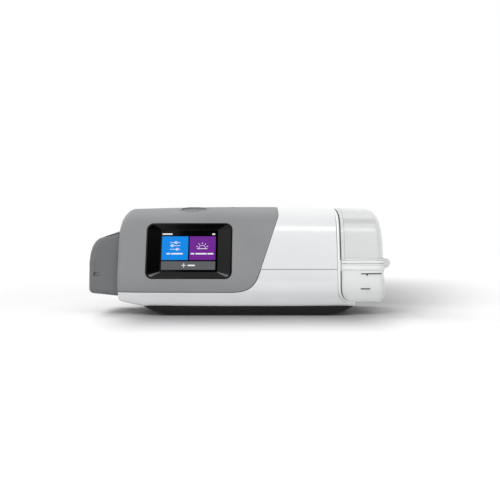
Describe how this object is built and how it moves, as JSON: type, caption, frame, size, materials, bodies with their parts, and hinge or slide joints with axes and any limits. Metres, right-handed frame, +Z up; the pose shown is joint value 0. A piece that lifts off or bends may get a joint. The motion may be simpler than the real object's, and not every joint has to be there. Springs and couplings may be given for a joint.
{
  "type": "home ventilator",
  "caption": "Bedside home ventilator with a colour touch screen, a start button, a hinged filter cover and a clear water tub that slides out of the case.",
  "frame": {"origin": "on the surface that it stands on, under the middle of its box", "axes": "+X to the viewer's right, towards the water tub; -Y the front with the screen; +Z up"},
  "size_m": [0.2592, 0.1384, 0.0945],
  "materials": {
    "case_grey": "satin moulded plastic, fine texture",
    "case_white": "smooth satin white",
    "bezel_pale": "satin pale grey",
    "cover_dark": "fine matte texture",
    "base_black": "matte",
    "gloss_black": "polished",
    "screen_glass": "polished dark glass",
    "inner_grey": "moulded",
    "board": "solder mask",
    "rubber_black": "matte",
    "silicone": "soft satin",
    "foam": "open cell",
    "filter_white": "non-woven",
    "steel": "bright",
    "aluminium": "plain",
    "copper": "enamelled wire",
    "magnet": "plain",
    "clear_tub": "frosted clear",
    "light_guide": "translucent"
  },
  "bodies": {
    "root": {"base_tray": "base_black", "foot_1": "rubber_black", "foot_2": "rubber_black", "foot_3": "rubber_black", "foot_4": "rubber_black", "case_screw_1": "steel", "case_screw_2": "steel", "case_screw_3": "steel", "case_screw_4": "steel", "grey_wrap": "case_grey", "white_upper_shell": "case_white", "white_lower_shell": "case_white", "end_bezel": "bezel_pale", "screen_frame": "gloss_black", "touch_glass": "screen_glass", "display_panel": "steel", "display_bracket": "inner_grey", "main_board": "board", "radio_shield": "steel", "light_ring": "light_guide", "button_switch": "gloss_black", "button_board": "board", "button_spring": "steel", "sensor_window": "gloss_black", "filter_hinge_pin": "steel", "intake_grille": "inner_grey", "air_filter": "filter_white", "muffler_box": "inner_grey", "muffler_lid": "inner_grey", "muffler_foam": "foam", "blower_lower_case": "gloss_black", "blower_upper_case": "gloss_black", "blower_mount": "silicone", "lower_bearing": "steel", "upper_bearing": "steel", "motor_can": "aluminium", "stator": "copper", "supply_duct": "inner_grey", "return_duct": "inner_grey", "flow_sensor": "gloss_black", "supply_seal": "silicone", "return_seal": "silicone", "air_outlet_port": "inner_grey", "rear_panel": "base_black", "power_inlet": "gloss_black", "card_socket": "steel", "card_flap_pin": "steel", "bay_liner": "inner_grey", "heater_plate": "aluminium"},
    "tub": {"tub_base": "clear_tub", "tub_heat_plate": "steel", "tub_deck": "clear_tub", "tub_seal": "silicone"},
    "tub_lid": {"tub_lid": "clear_tub"},
    "start_button": {"start_button": "case_grey"},
    "filter_cover": {"filter_cover": "cover_dark"},
    "blower_rotor": {"impeller": "inner_grey", "rotor_shaft": "steel", "rotor_magnet": "magnet"},
    "card_flap": {"card_flap": "base_black"}
  },
  "joints": [
    {"name": "tub_slide", "type": "slide", "parent": "root", "child": "tub", "axis": [1, 0, 0], "range_m": [0, 0.13]},
    {"name": "tub_lid_hinge", "type": "hinge", "parent": "tub", "child": "tub_lid", "pos_m": [0.1253, -0.005, 0.0437], "axis": [0, 1, 0], "range_deg": [0, 100]},
    {"name": "start_button_press", "type": "slide", "parent": "root", "child": "start_button", "axis": [0, 0.1867, -0.9824], "range_m": [0, 0.0008], "stiffness_N_per_m": 600, "springref_m": -0.0005},
    {"name": "filter_cover_hinge", "type": "hinge", "parent": "root", "child": "filter_cover", "pos_m": [-0.1076, 0.045, 0.042], "axis": [0, 0, -1], "range_deg": [0, 85]},
    {"name": "blower_spin", "type": "hinge", "parent": "root", "child": "blower_rotor", "pos_m": [-0.044, 0.006, 0.065], "axis": [0, 0, 1], "continuous": true},
    {"name": "card_flap_hinge", "type": "hinge", "parent": "root", "child": "card_flap", "pos_m": [-0.075, 0.05688, 0.0267], "axis": [-1, 0, 0], "range_deg": [0, 90]}
  ]
}
